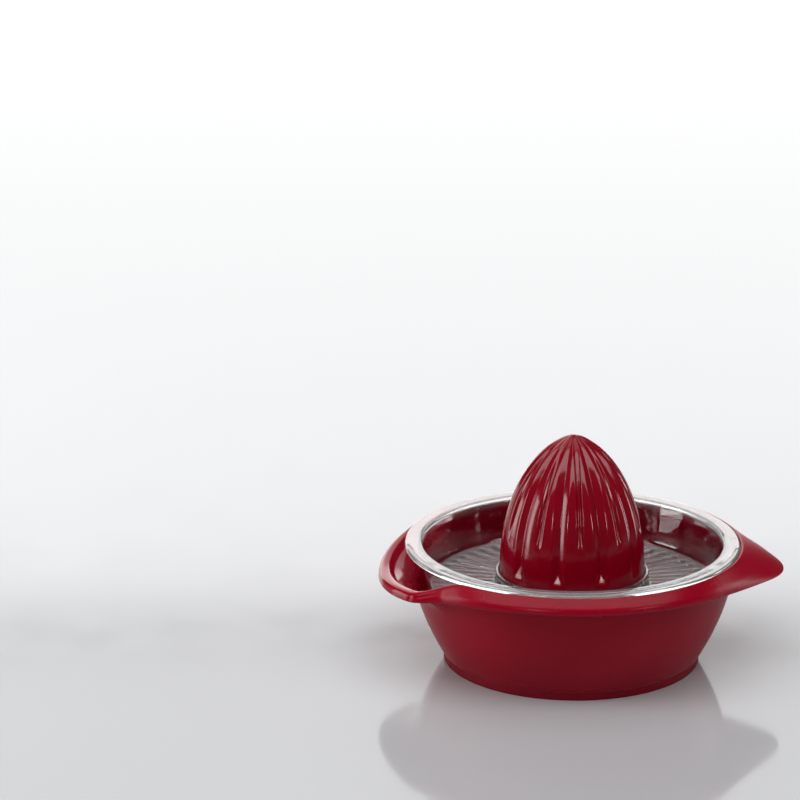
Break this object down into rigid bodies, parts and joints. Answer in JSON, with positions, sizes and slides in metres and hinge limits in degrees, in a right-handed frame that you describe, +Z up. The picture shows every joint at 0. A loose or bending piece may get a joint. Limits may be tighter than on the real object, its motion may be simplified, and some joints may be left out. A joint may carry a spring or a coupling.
{
  "type": "citrus juicer",
  "caption": "Hand citrus juicer: red bowl with a pouring spout and thumb handle, lift-off clear slotted strainer and fluted red reamer.",
  "frame": {"origin": "on the table, on the axis of the bowl, where the foot ring rests", "axes": "+Z up along the axis of the bowl and the reamer, +X towards the thumb handle, spout at -X"},
  "size_m": [0.19, 0.167, 0.109],
  "materials": {
    "red_satin_plastic": "moulded plastic, satin outside and polished inside the spout",
    "red_rubber": "soft matt non-slip ring",
    "clear_plastic": "clear polished plastic",
    "red_gloss_plastic": "polished moulded plastic"
  },
  "bodies": {
    "bowl": {"bowl": "red_satin_plastic", "foot_ring": "red_rubber"},
    "strainer": {"strainer": "clear_plastic"},
    "reamer": {"reamer": "red_gloss_plastic"}
  },
  "joints": [
    {"name": "strainer_lift", "type": "slide", "parent": "bowl", "child": "strainer", "axis": [0, 0, 1], "range_m": [0, 0.08]},
    {"name": "reamer_lift", "type": "slide", "parent": "strainer", "child": "reamer", "axis": [0, 0, 1], "range_m": [0, 0.09]}
  ]
}
